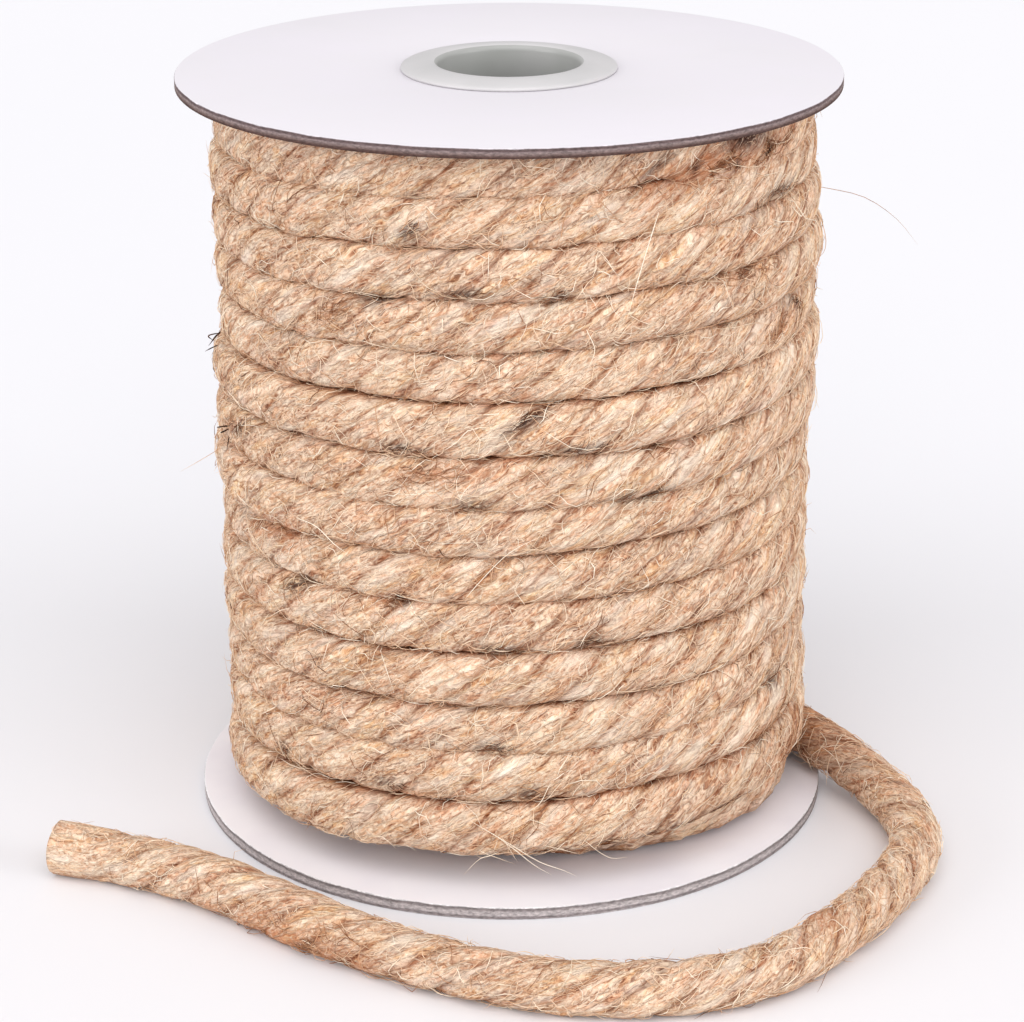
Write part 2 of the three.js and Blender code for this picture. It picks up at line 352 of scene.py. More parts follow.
def strand_shape(s, columns, seed, ease=1.0):
    """The laid section at distances s: the angle and radius of each column, and for each point
    how deep it lies in a crease, and its strand's tone."""
    column = TAU * np.arange(columns) / columns
    strand = np.floor(column / (TAU / 3)).astype(int)
    within = (column - strand * TAU / 3) / (TAU / 6) - 1
    depth = np.abs(within)[None, :] ** 2.7
    swell = wander(s, 11.0, seed, 3)[:, strand]
    fine = wander(s, 3.1, seed + 1, columns)
    fine = (fine + np.roll(fine, 1, 1) + np.roll(fine, -1, 1)) / 3
    shift = 0.16 * wander(s, 17.0, seed + 2, 3)[:, strand] * (1 - depth)
    along = -TAU * s / LAY + 0.3 * wander(s, 29.0, seed + 3)[:, 0] * smoothstep(s, 0, 20)
    angle = along[:, None] + column[None, :] + shift
    crease = CREASE * (1 + 0.5 * wander(s, 8.0, seed + 6, 1)) * np.asarray(ease).reshape(-1, 1)
    radius = ROPE_RADIUS * (1 - crease * depth) + (0.15 * swell + 0.13 * fine) * (1 - 0.6 * depth)
    tone = 0.5 * wander(s, 40.0, seed + 4, 3)[:, strand] + 0.5 * wander(s, 7.0, seed + 5, 3)[:, strand]
    return angle, radius, np.broadcast_to(depth, radius.shape), tone * (1 - depth)


def fibre_place(s, angle, radius):
    """Coordinates that stay the same along a fibre, apart from the last, which runs along it."""
    turn = angle + FIBRE_TWIST * s[:, None]
    return np.stack([radius * np.cos(turn), radius * np.sin(turn), s[:, None] + 0 * turn], -1)


def marked(p, places):
    """How far each point of the winding lies in one of these places, from 0 to 1."""
    around = np.degrees(np.arctan2(p[..., 0], -p[..., 1]))
    found = np.zeros(around.shape)
    for angle, height, long, wide, slope, strength in places:
        right, up = np.radians(around - angle) * 45, p[..., 2] - height
        tilt = math.radians(slope)
        along = right * math.cos(tilt) + up * math.sin(tilt)
        side = up * math.cos(tilt) - right * math.sin(tilt)
        found = np.maximum(found, strength * np.exp(-((along / long) ** 2) - (side / wide) ** 2))
    return found


def rope_piece(name, line, first, last, columns, material, seed, skip=1, turns=None):
    """A stretch of a wound rope, between two of its line's points. turns are the turns at the
    line's points, for a stretch of the outer layer, which is pressed by its neighbours."""
    s = line.s[first : last + 1 : skip]
    angle, radius, depth, tone = strand_shape(s, columns, seed)
    up, down, begun = 1.0, 1.0, 1.0
    if turns is not None:
        at = turns[first : last + 1 : skip, None]
        up, down = neighbours(at)
        # The winding starts round, as the loose end is
        begun = smoothstep(at, FIRST_TURN, FIRST_TURN + 0.06)
    # Strands are pressed flat where turns touch
    flat = 0.6 * np.abs(np.sin(angle)) ** 3 * begun
    radius = radius * (1 - flat) + ROPE_RADIUS * flat
    reach = 1 - begun + begun * pressed(angle, up, down)
    p = line.place(np.repeat(s[:, None], columns, 1), angle, radius * reach)
    p[..., 2] = np.clip(p[..., 2], LOWER_BOARD + 0.05, REEL_HEIGHT - UPPER_BOARD - 0.05)
    facing = np.cos(angle)
    around = np.degrees(np.arctan2(p[..., 0], -p[..., 1]))
    # The painted shade in the lines between turns fades out on the left
    deep = 0.45 + 0.55 * smoothstep(around, -58, -25)
    # Shade is painted where turns meet, and where the rope leaves the winding
    values = (
        ("fibre", fibre_place(s, angle, radius).reshape(-1, 3)),
        ("crease", depth.ravel()),
        ("painted_shade", np.maximum(smoothstep(-facing, *MEETING) * deep, START_SHADE * (1 - begun)).ravel()),
        ("tone", tone.ravel()),
        ("stain", marked(p, STAINS).ravel()),
        ("fleck", marked(p, [fleck + (1.0,) for fleck in FLECKS]).ravel()),
    )
    return mesh_object(name, p.reshape(-1, 3), tube_faces(len(s), columns), [material], values=values)


def hair(line, s, angle, lean, length, rise, kind, bend, segments, up, down):
    """Middle lines of stray fibres, as (fibre, point, xyz). Each starts on the rope's surface at s
    and angle, leans from the rope's own direction, and stands off by rise: in the middle for
    kind 0, and at its end for kind 1. up and down are the section's stretches in height."""
    count = len(s)
    t = np.linspace(0, 1, segments + 1)[None, :]
    heading = lean[:, None] + bend[:, None] * t + 0.5 * np.sin(
        TAU * t * rng.uniform(0.4, 1.3, (count, 1)) + rng.uniform(0, TAU, (count, 1))
    )
    step = (length / segments)[:, None]
    ahead = np.cumsum(np.cos(heading) * step, 1) - np.cos(heading[:, :1]) * step
    around = np.cumsum(np.sin(heading) * step, 1) - np.sin(heading[:, :1]) * step
    lying = np.sin(math.pi * np.clip(t * 1.02, 0, 1))
    flying = t ** 1.7
    off = rise[:, None] * np.where(kind[:, None] > 0, flying, lying)
    turn = angle[:, None] + around / ROPE_RADIUS
    reach = 1.0 if up is None else pressed(turn, up[:, None], down[:, None])
    return line.place(s[:, None] + ahead, turn, ROPE_RADIUS * reach - 0.1 + off)


def fibre_object(name, lines, thickness, tone, material):
    """Fine closed tubes, three-sided and tapered at both ends, along these middle lines."""
    count, points, _ = lines.shape
    along = unit(np.gradient(lines, axis=1))
    side = unit(np.cross(along, unit(rng.normal(size=(count, 1, 3)))))
    other = np.cross(along, side)
    t = np.linspace(0, 1, points)
    taper = np.clip(np.minimum(t * 6 + 0.4, (1 - t) * 2.2 + 0.12), 0, 1)
    wide = (thickness[:, None] * taper)[..., None, None]
    corner = np.arange(3) * TAU / 3
    ring = side[:, :, None] * np.cos(corner)[:, None] + other[:, :, None] * np.sin(corner)[:, None]
    p = lines[:, :, None] + wide * ring
    base = (np.arange(count)[:, None, None] * points + np.arange(points - 1)[None, :, None]) * 3
    k = np.arange(3)[None, None, :]
    a, b = base + k, base + (k + 1) % 3
    faces = np.stack([a, b, b + 3, a + 3], -1).reshape(-1, 4).tolist()
    start = np.arange(count) * points * 3
    end = start + (points - 1) * 3
    faces += np.stack([start + 2, start + 1, start], 1).tolist()
    faces += np.stack([end, end + 1, end + 2], 1).tolist()
    tones = np.repeat(tone, points * 3)
    return mesh_object(name, p.reshape(-1, 3), faces, [material], values=(("tone", tones),))


def lathe(name, outline, segments, materials, slots=None):
    """A ring turned about Z from a closed outline of (radius, height) points. slots gives the
    material of each stretch of the outline."""
    outline = np.asarray(outline, float)
    turn = TAU * np.arange(segments) / segments
    p = np.stack([
        outline[None, :, 0] * np.cos(turn)[:, None],
        outline[None, :, 0] * np.sin(turn)[:, None],
        np.repeat(outline[None, :, 1], segments, 0),
    ], -1).reshape(-1, 3)
    n = len(outline)
    faces = []
    for j in range(segments):
        k = (j + 1) % segments
        for i in range(n):
            h = (i + 1) % n
            faces.append((j * n + i, k * n + i, k * n + h, j * n + h))
    made = mesh_object(name, p, faces, materials)
    if slots is not None:
        made.data.polygons.foreach_set("material_index", np.tile(slots, segments).astype(np.int32))
    return made


def rounded(outline, radius, steps=3):
    """The closed outline with each corner rounded, by at most radius or a third of its sides."""
    found = []
    n = len(outline)
    for i in range(n):
        before, here, after = (np.asarray(outline[k % n], float) for k in (i - 1, i, i + 1))
        back, on = before - here, after - here
        cut = min(radius, np.linalg.norm(back) / 3, np.linalg.norm(on) / 3)
        a, b = here + unit(back) * cut, here + unit(on) * cut
        for t in np.linspace(0, 1, steps + 1):
            found.append((1 - t) ** 2 * a + 2 * t * (1 - t) * here + t * t * b)
    return found


# Materials

def material(name, roughness, specular):
    made = bpy.data.materials.new(name)
    made.use_nodes = True
    shader = made.node_tree.nodes["Principled BSDF"]
    shader.inputs["Roughness"].default_value = roughness
    shader.inputs["Specular IOR Level"].default_value = specular
    return made, shader


class Nodes:
    """Short calls that add nodes to a material and return the socket of their result."""

    def __init__(self, made):
        self.tree = made.node_tree

    def add(self, kind, **settings):
        node = self.tree.nodes.new(kind)
        for key, value in settings.items():
            setattr(node, key, value)
        return node

    def link(self, source, target):
        if isinstance(source, (int, float)):
            target.default_value = source
        elif isinstance(source, tuple):
            target.default_value = source + (1.0,) * (len(target.default_value) - len(source))
        else:
            self.tree.links.new(source, target)

    def attribute(self, name, output="Fac"):
        return self.add("ShaderNodeAttribute", attribute_name=name).outputs[output]

    def place(self):
        return self.add("ShaderNodeTexCoord").outputs["Object"]

    def scaled(self, vector, scale):
        node = self.add("ShaderNodeMapping")
        self.link(vector, node.inputs["Vector"])
        node.inputs["Scale"].default_value = scale
        return node.outputs["Vector"]

    def noise(self, vector, scale=1.0, detail=2.0, roughness=0.5, distortion=0.0):
        node = self.add("ShaderNodeTexNoise")
        self.link(vector, node.inputs["Vector"])
        for key, value in (("Scale", scale), ("Detail", detail), ("Roughness", roughness),
                           ("Distortion", distortion)):
            node.inputs[key].default_value = value
        return node.outputs["Fac"]

    def math(self, operation, a, b=0.0, clamp=False):
        node = self.add("ShaderNodeMath", operation=operation, use_clamp=clamp)
        self.link(a, node.inputs[0])
        self.link(b, node.inputs[1])
        return node.outputs[0]

    def ramp(self, value, stops):
        node = self.add("ShaderNodeValToRGB")
        self.link(value, node.inputs["Fac"])
        ends = node.color_ramp.elements
        for k, (at, colour) in enumerate(stops):
            stop = ends[k] if k < 2 else ends.new(at)
            stop.position = at
            stop.color = tuple(colour) + (1.0,)
        return node.outputs["Color"]

    def mix(self, share, a, b, blend="MIX"):
        node = self.add("ShaderNodeMix", data_type="RGBA", blend_type=blend)
        self.link(share, node.inputs["Factor"])
        self.link(a, node.inputs["A"])
        self.link(b, node.inputs["B"])
        return node.outputs["Result"]

    def levels(self, value, low, high, to_low=0.0, to_high=1.0):
        node = self.add("ShaderNodeMapRange")
        self.link(value, node.inputs["Value"])
        for key, number in (("From Min", low), ("From Max", high), ("To Min", to_low),
                            ("To Max", to_high)):
            node.inputs[key].default_value = number
        return node.outputs["Result"]

    def bump(self, height, strength, distance):
        node = self.add("ShaderNodeBump")
        node.inputs["Strength"].default_value = strength
        node.inputs["Distance"].default_value = distance
        self.link(height, node.inputs["Height"])
        return node.outputs["Normal"]


def fibre_lines(n, fibre, scale, lean, level, width):
    """Thin, wavy lines over the rope: where a stretched noise passes through a level. lean
    turns them away from the fibres' own direction."""
    leaning = n.add("ShaderNodeVectorMath", operation="MULTIPLY_ADD")
    parts = n.add("ShaderNodeSeparateXYZ")
    n.link(fibre, parts.inputs[0])
    leaned = n.add("ShaderNodeCombineXYZ")
    for k in range(3):
        n.link(parts.outputs["Z"], leaned.inputs[k])
    n.link(leaned.outputs[0], leaning.inputs[0])
    leaning.inputs[1].default_value = lean + (0.0,)
    n.link(fibre, leaning.inputs[2])
    cloud = n.noise(n.scaled(leaning.outputs[0], scale), detail=1.5, roughness=0.5, distortion=0.5)
    gap = n.math("ABSOLUTE", n.math("SUBTRACT", cloud, level))
    return n.levels(gap, width, 0.25 * width)


def rope_material(name):
    """Jute: fine fibres in streaks from brown to cream, under a mat of single light and dark
    fibres, in patches of other hues, with shade painted in the creases and where turns meet."""
    made, shader = material(name, 0.95, specular=0.05)
    n = Nodes(made)
    fibre = n.attribute("fibre", "Vector")
    sway = n.noise(n.scaled(fibre, (0.9, 0.9, 0.4)), detail=1.0)
    swayed = n.add("ShaderNodeVectorMath", operation="MULTIPLY_ADD")
    n.link(n.mix(0.5, sway, sway), swayed.inputs[0])
    swayed.inputs[1].default_value = (1.6, 1.6, 0.0)
    n.link(fibre, swayed.inputs[2])
    fibre = swayed.outputs[0]
    fine = n.noise(n.scaled(fibre, (3.4, 3.4, 0.4)), detail=3.0, roughness=0.65)
    bundle = n.noise(n.scaled(fibre, (1.5, 1.5, 0.16)), detail=2.0, roughness=0.5, distortion=0.4)
    short = n.noise(n.scaled(fibre, (2.8, 2.8, 1.5)), detail=2.0, roughness=0.6, distortion=0.8)
    patch = n.noise(n.scaled(fibre, (0.16, 0.16, 0.06)), detail=2.0, roughness=0.55)
    hue = n.noise(n.scaled(fibre, (0.5, 0.5, 0.13)), detail=1.0)
    mixed = n.math("ADD", n.math("MULTIPLY", fine, 0.36), n.math("MULTIPLY", bundle, 0.24))
    mixed = n.math("ADD", mixed, n.math("MULTIPLY", short, 0.26))
    mixed = n.math("ADD", mixed, n.math("MULTIPLY", patch, 0.14))
    mixed = n.math("ADD", mixed, n.math("MULTIPLY", n.attribute("tone"), 0.04))
    value = n.levels(mixed, 0.39, 0.6)
    colour = n.ramp(value, (
        (0.0, (0.22, 0.085, 0.045)),
        (0.22, (0.475, 0.24, 0.138)),
        (0.48, (0.70, 0.42, 0.262)),
        (0.75, (0.83, 0.585, 0.40)),
        (1.0, (0.93, 0.77, 0.60)),
    ))
    rosy = n.levels(hue, 0.5, 0.72, 0.0, 0.6)
    colour = n.mix(rosy, colour, n.mix(1.0, colour, (1.0, 0.85, 0.82), "MULTIPLY"))
    golden = n.levels(hue, 0.5, 0.3, 0.0, 0.6)
    colour = n.mix(golden, colour, n.mix(1.0, colour, (1.0, 0.92, 0.68), "MULTIPLY"))
    worn = n.noise(n.scaled(fibre, (0.42, 0.42, 0.12)), detail=1.0)
    colour = n.mix(n.levels(worn, 0.54, 0.72, 0.0, 0.6), colour, (0.96, 0.86, 0.74))
    pale = fibre_lines(n, fibre, (0.75, 0.75, 0.2), (0.25, 0.1), 0.5, 0.1)
    pale_too = fibre_lines(n, fibre, (0.65, 0.65, 0.25), (-0.35, 0.3), 0.46, 0.09)
    dark = fibre_lines(n, fibre, (0.7, 0.7, 0.16), (0.1, -0.2), 0.54, 0.07)
    colour = n.mix(n.math("MULTIPLY", dark, 0.5), colour, (0.25, 0.12, 0.07))
    pales = n.math("MULTIPLY", n.math("MAXIMUM", pale, pale_too), n.levels(short, 0.4, 0.6, 0.15, 0.6))
    colour = n.mix(pales, colour, (0.94, 0.78, 0.61))
    stained = n.math("MULTIPLY", n.attribute("stain"), n.levels(mixed, 0.62, 0.42, 0.45, 1.0))
    colour = n.mix(stained, colour, (0.52, 0.195, 0.085))
    fleck = n.math("MULTIPLY", n.attribute("fleck"), n.levels(fine, 0.68, 0.5), clamp=True)
    colour = n.mix(fleck, colour, (0.05, 0.018, 0.016))
    crease = n.attribute("crease")
    # Shade painted in narrow, broken lines along the deepest creases
    painted_crease_shade = n.math("MULTIPLY", n.math("POWER", crease, 2.5), n.levels(bundle, 0.62, 0.45, 0.1, 0.85))
    colour = n.mix(painted_crease_shade, colour, n.mix(1.0, colour, (0.45, 0.26, 0.18), "MULTIPLY"))
    broken = n.noise(n.scaled(fibre, (0.05, 0.05, 0.16)), detail=2.0, roughness=0.6)
    painted_shade = n.attribute("painted_shade")
    # Painted shade where turns meet, under the loose end and near the winding, with dark broken lines of
    # painted shade in the gaps between turns
    colour = n.mix(painted_shade, colour, n.mix(1.0, colour, (0.78, 0.5, 0.36), "MULTIPLY"))
    painted_gap_lines = n.math("MULTIPLY", n.math("POWER", painted_shade, 1.6), n.levels(broken, 0.4, 0.56, 0.1, 1.0))
    colour = n.mix(painted_gap_lines, colour, (0.13, 0.042, 0.022))
    n.link(colour, shader.inputs["Base Color"])
    height = n.math("ADD", n.math("MULTIPLY", fine, 0.5), n.math("MULTIPLY", bundle, 0.7))
    height = n.math("ADD", height, n.math("MULTIPLY", short, 0.4))
    height = n.math("ADD", height, n.math("MULTIPLY", pales, 0.25))
    n.link(n.bump(height, 0.9, 0.0007), shader.inputs["Normal"])
    return made


def fibre_material(name):
    """Single fibres, each of its own tone, with a slow change along it."""
    made, shader = material(name, 0.85, specular=0.08)
    n = Nodes(made)
    cloud = n.noise(n.place(), scale=900.0, detail=1.0)
    value = n.math("ADD", n.attribute("tone"), n.levels(cloud, 0.3, 0.7, -0.08, 0.08))
    colour = n.ramp(value, (
        (0.0, (0.035, 0.018, 0.012)),
        (0.2, (0.24, 0.09, 0.04)),
        (0.4, (0.62, 0.345, 0.195)),
        (0.7, (0.87, 0.65, 0.455)),
        (1.0, (0.97, 0.87, 0.72)),
    ))
    n.link(colour, shader.inputs["Base Color"])
    return made


def paper_material(name, colour):
    """White paper face: faint mottling and a very fine fibre grain."""
    made, shader = material(name, 0.62, specular=0.35)
    n = Nodes(made)
    cloud = n.noise(n.place(), scale=55.0, detail=3.0)
    grain = n.noise(n.place(), scale=1400.0, detail=2.0)
    shade = n.levels(cloud, 0.3, 0.7, 0.965, 1.0)
    tinted = n.mix(n.levels(cloud, 0.42, 0.64, 0.0, 0.5), colour, (0.74, 0.705, 0.76))
    node = n.add("ShaderNodeVectorMath", operation="SCALE")
    n.link(tinted, node.inputs[0])
    n.link(shade, node.inputs["Scale"])
    n.link(node.outputs[0], shader.inputs["Base Color"])
    n.link(n.bump(grain, 0.12, 0.00006), shader.inputs["Normal"])
    return made


def edge_material(name, low, high, bands):
    """The cut edge of a board: paper lines at its faces and grey, speckled board between, in
    bands from its lower face to its upper one."""
    made, shader = material(name, 0.85, specular=0.2)
    n = Nodes(made)
    parts = n.add("ShaderNodeSeparateXYZ")
    n.link(n.place(), parts.inputs[0])
    ripple = n.noise(n.place(), scale=160.0, detail=2.0)
    height = n.levels(parts.outputs["Z"], low * MM, high * MM)
    height = n.math("ADD", height, n.levels(ripple, 0.3, 0.7, -0.05, 0.05))
    colour = n.ramp(height, bands)
    speckle = n.noise(n.scaled(n.place(), (1300.0, 1300.0, 3400.0)), detail=3.0, roughness=0.75)
    rough = n.levels(speckle, 0.35, 0.65, 0.55, 1.2)
    node = n.add("ShaderNodeVectorMath", operation="SCALE")
    n.link(colour, node.inputs[0])
    n.link(rough, node.inputs["Scale"])
    n.link(node.outputs[0], shader.inputs["Base Color"])
    n.link(n.bump(speckle, 0.5, 0.00012), shader.inputs["Normal"])
    return made


def plastic_material(name, dark, light):
    """Satin grey plastic, with faint drawn lines round the tube."""
    made, shader = material(name, 0.38, specular=0.45)
    n = Nodes(made)
    cloud = n.noise(n.place(), scale=120.0, detail=2.0)
    lines = n.noise(n.scaled(n.place(), (60.0, 60.0, 2200.0)), detail=1.0)
    colour = n.ramp(cloud, ((0.35, dark), (0.65, light)))
    n.link(colour, shader.inputs["Base Color"])
    n.link(n.bump(lines, 0.1, 0.00004), shader.inputs["Normal"])
    return made


def floor_material(name):
    made, shader = material(name, 0.6, specular=0.1)
    n = Nodes(made)
    cloud = n.noise(n.place(), scale=2.0, detail=1.0)
    colour = n.ramp(cloud, ((0.3, (0.80, 0.795, 0.825)), (0.7, (0.82, 0.815, 0.84))))
    n.link(colour, shader.inputs["Base Color"])
    return made


# Camera, at the photograph's angle: place, tilt and roll in millimetres and degrees
EYE = (0.22, -443.857, 214.363)
TILT = math.radians(20.790)
ROLL = math.radians(-0.195)
FOCAL_PIXELS = 2997.6
IMAGE_WIDTH = 1024
SENSOR = 36.0

lens = bpy.data.cameras.new("camera")
lens.sensor_fit = "HORIZONTAL"
lens.sensor_width = SENSOR
lens.lens = FOCAL_PIXELS / IMAGE_WIDTH * SENSOR
lens.clip_start = 0.01
camera = bpy.data.objects.new("camera", lens)
ahead = np.array([0, math.cos(TILT), -math.sin(TILT)])
level = np.array([1.0, 0, 0])
upright = np.cross(level, ahead)
right = math.cos(ROLL) * level + math.sin(ROLL) * upright
up = -math.sin(ROLL) * level + math.cos(ROLL) * upright
pose = np.eye(4)
pose[:3, 0], pose[:3, 1], pose[:3, 2], pose[:3, 3] = right, up, -ahead, np.array(EYE) * MM
camera.matrix_world = Matrix(pose.tolist())
bpy.context.scene.collection.objects.link(camera)
bpy.context.scene.camera = camera

jute = rope_material("jute")
strays = fibre_material("jute_fibre")

# Loose end, a cord
LOOSE_COLUMNS = 42
LOOSE_STEP = 0.7
# Distances from its cut end: the lay opens out between the first two, and the rope is thicker, as
# it is loosely laid, from the second pair to the third
OPEN_FROM, OPEN_TO = 14.0, 3.0
THICK_FROM, THICK_TO = (60.0, 42.0), (22.0, 8.0)
THICKER = 0.09
# How much of a crease is left at the cut, how much wider the rope is there, and how much deeper
# the loose end's creases are than the winding's
CREASE_AT_CUT = 0.3
WIDER_AT_CUT = 0.06
LOOSE_EASE = 1.1
route = catmull_rom(LOOSE_ROUTE)
sideways = unit(np.cross([0, 0, 1.0], np.gradient(route, axis=0)))
loose = Line(route, sideways, LOOSE_STEP)
loose_length = loose.s[-1]
to_end = loose_length - loose.s
frayed = 1 - smoothstep(to_end, OPEN_TO, OPEN_FROM)
crease_left = 1 - (1 - CREASE_AT_CUT) * frayed
angle, radius, depth, tone = strand_shape(
    loose.s, LOOSE_COLUMNS, 301, ease=LOOSE_EASE * crease_left
)
# The strands, and the fibres in them, run straight towards the cut
straight = np.cumsum(frayed) * LOOSE_STEP
angle += (TAU / LAY * straight)[:, None]
radius *= (1 + WIDER_AT_CUT * frayed)[:, None]
swollen = smoothstep(to_end, *THICK_TO[::-1]) * (1 - smoothstep(to_end, *THICK_FROM[::-1]))
radius *= (1 + THICKER * swollen)[:, None]
p = loose.place(np.repeat(loose.s[:, None], LOOSE_COLUMNS, 1), angle, radius)
# It rests on the floor, a little flattened, and clear of the lower board's edge
p[..., 2] = np.maximum(p[..., 2], 0.05)
stain = np.zeros(angle.shape)
for at, side, half, strength in LOOSE_STAINS:
    gap = np.abs((angle - side + math.pi) % TAU - math.pi)
    stain = np.maximum(
        stain, strength * np.exp(-(((loose.s[:, None] - at) / half) ** 2) - (gap / 1.1) ** 2)
    )
# Its cut end: rings that close in to the middle, a little uneven
rings = [p]
CLOSING = (0.72, 0.42, 0.14)
for share in CLOSING:
    middle = p[-1].mean(0)
    ring = middle + (p[-1] - middle) * share
    ring += loose.along[-1] * rng.uniform(-0.25, 0.3, (LOOSE_COLUMNS, 1))
    rings.append(ring[None])
p_all = np.concatenate(rings)
extra = len(rings) - 1


def carried(values):
    return np.concatenate([values, np.repeat(values[-1:], extra, 0)])


fibre = fibre_place(loose.s, angle - (FIBRE_TWIST * straight)[:, None], radius)
closing = [fibre[-1:] * (share, share, 1) for share in CLOSING]
# Far along the fibres from the winding's, so that the two ropes' streaks differ
fibre = np.concatenate([fibre] + closing) + (0, 0, 4000)
# Shade is painted on its underside and on its stretch nearest the winding
under = smoothstep(-np.sin(carried(angle)), 0.55, 1.0)
shade = START_SHADE * (1 - smoothstep(loose.s, 14, 60))
# Painted shade: it is darkest where it lies in the corner between the winding and the board's edge
shade += 0.3 * smoothstep(loose.s, 4, 14) * (1 - smoothstep(loose.s, 22, 34))
shaded = carried(shade)
loose_rope = mesh_object(
    "loose_rope", p_all.reshape(-1, 3), tube_faces(len(p_all), LOOSE_COLUMNS), [jute],
    values=(
        ("fibre", fibre.reshape(-1, 3)),
        ("crease", carried(depth * crease_left[:, None]).ravel()),
        ("painted_shade", np.maximum(0.4 * under, shaded[:, None]).ravel()),
        ("tone", carried(tone).ravel()),
        ("stain", carried(stain).ravel()),
        ("fleck", np.zeros(p_all.shape[0] * LOOSE_COLUMNS)),
    ),
)
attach(loose_rope, "root")
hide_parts("loose_end")


def stray_fibres(line, start, end, count, seed, spread, turns=None, free=0.2):
    """Stray fibres on a stretch of a rope: most lie close along its surface, and a share of
    them have a free end that stands off. turns gives the winding's turn at a distance."""
    r = np.random.default_rng(seed)
    s = r.uniform(start, end, count)
    around = r.uniform(-spread, spread, count)
    kind = (r.random(count) < free).astype(float)
    length = r.gamma(3.0, 1.2, count) + 1.2
    rise = np.where(kind > 0, r.gamma(1.5, 0.36, count), r.gamma(2.0, 0.09, count) + 0.03)
    heading = np.where(r.random(count) < 0.5, 0, math.pi)
    lean = heading - math.atan(FIBRE_TWIST * ROPE_RADIUS) + r.normal(0, 0.6, count)
    bend = r.normal(0, 1.1, count)
    up, down = (None, None) if turns is None else neighbours(turns(s))
    lines = hair(line, s, around, lean, length, np.minimum(rise, 2.4), kind, bend, 4, up, down)
    thick = r.uniform(0.035, 0.075, count)
    tone = np.clip(r.normal(0.66, 0.22, count), 0.1, 1)
    return lines, thick, tone


LOOSE_FIBRES = 2200
lines, thick, tones = stray_fibres(loose, 0, loose_length, LOOSE_FIBRES, 21, math.pi)
# Rusty fibres stand out at the stained place
at, side, half, _ = LOOSE_STAINS[0]
RUSTY_FIBRES = 260
count = RUSTY_FIBRES
s = rng.normal(at, 0.6 * half, count)
rusty = hair(
    loose, s, rng.normal(side, 0.75, count), rng.normal(0.1, 0.5, count), rng.uniform(3, 8, count),
    rng.gamma(1.5, 0.3, count), (rng.random(count) < 0.4).astype(float), rng.normal(0, 0.8, count),
    4, None, None,
)
lines = np.concatenate([lines, rusty])
thick = np.concatenate([thick, rng.uniform(0.04, 0.08, count)])
tones = np.concatenate([tones, rng.uniform(0.2, 0.42, count)])
lines[..., 2] = np.maximum(lines[..., 2], 0.06)
loose_fibres = fibre_object("loose_fibres", lines, thick, tones, strays)
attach(loose_fibres, "root")

# Winding
OUTER_COLUMNS = 33
INNER_COLUMNS = 12
OUTER_PIECES = 3
points, out, turn = winding_line()
wound = Line(points, out, 1.25)
turns_at = np.interp(
    wound.s, np.concatenate([[0], np.cumsum(np.linalg.norm(np.diff(points, axis=0), axis=1))]), turn
)
outer_end = int(np.searchsorted(turns_at, DIVE_TO + 0.12))
marks = np.linspace(0, outer_end, OUTER_PIECES + 1).astype(int)
for k in range(OUTER_PIECES):
    made = rope_piece(
        f"rope_outer_{k + 1}", wound, marks[k], marks[k + 1], OUTER_COLUMNS, jute, 101,
        turns=turns_at,
    )
    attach(made, "root")
    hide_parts("wound_rope")
inner = rope_piece("rope_inner", wound, outer_end, len(wound.s) - 1, INNER_COLUMNS, jute, 101, skip=3)
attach(inner, "root")
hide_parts("wound_rope")

# The rope of the layer beneath, where it stands out at the top
start_table = np.array(START_ROUTE, float)
start_at = np.radians(np.linspace(start_table[0, 0], start_table[-1, 0], 200))
start_radius, start_height = (
    np.interp(np.degrees(start_at), start_table[:, 0], start_table[:, k]) for k in (1, 2)
)
start_out = np.stack([np.sin(start_at), -np.cos(start_at), 0 * start_at], 1)
start_points = start_radius[:, None] * start_out + start_height[:, None] * np.array([0, 0, 1.0])
started = Line(start_points, start_out, 1.25)
start_rope = rope_piece(
    "rope_start", started, 0, len(started.s) - 1, OUTER_COLUMNS, jute, 151
)
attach(start_rope, "root")
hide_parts("wound_rope")

# The layers under the inner one, as a plain ribbed core
heights = np.linspace(LOWER_BOARD + 0.4, REEL_HEIGHT - UPPER_BOARD - 0.4, 59)
ribs = [(30.6 + 0.5 * math.sin(TAU * h / PITCH), h) for h in heights]
core = lathe("rope_core", [(12.7, heights[0])] + ribs + [(12.7, heights[-1])], 64, [jute])
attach(core, "root")
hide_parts("wound_rope")

# Stray fibres of the winding
FIBRE_PIECES = 4
FIBRES_EACH = 5000
outer_s = wound.s[outer_end]
for k in range(FIBRE_PIECES):
    start, end = outer_s * k / FIBRE_PIECES, outer_s * (k + 1) / FIBRE_PIECES
    lines, thick, tones = stray_fibres(
        wound, start, end, FIBRES_EACH, 31 + k, 1.9, turns=lambda s: np.interp(s, wound.s, turns_at)
    )
    lines[..., 2] = np.clip(lines[..., 2], LOWER_BOARD + 0.1, REEL_HEIGHT - UPPER_BOARD - 0.1)
    made = fibre_object(f"stray_fibres_{k + 1}", lines, thick, tones, strays)
    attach(made, "root")


def on_winding(degrees, height):
    """The turn of the outer layer that passes nearest to a place, and the angle round it."""
    turns = np.arange(0, len(TURNS)) + degrees / 360
    nearest = turns[np.argmin(np.abs(turn_height(turns) - height))]
    drop = (turn_height(np.array([nearest]))[0] - height) / (1.05 * ROPE_RADIUS)
    return nearest, math.asin(min(1, max(-1, drop)))


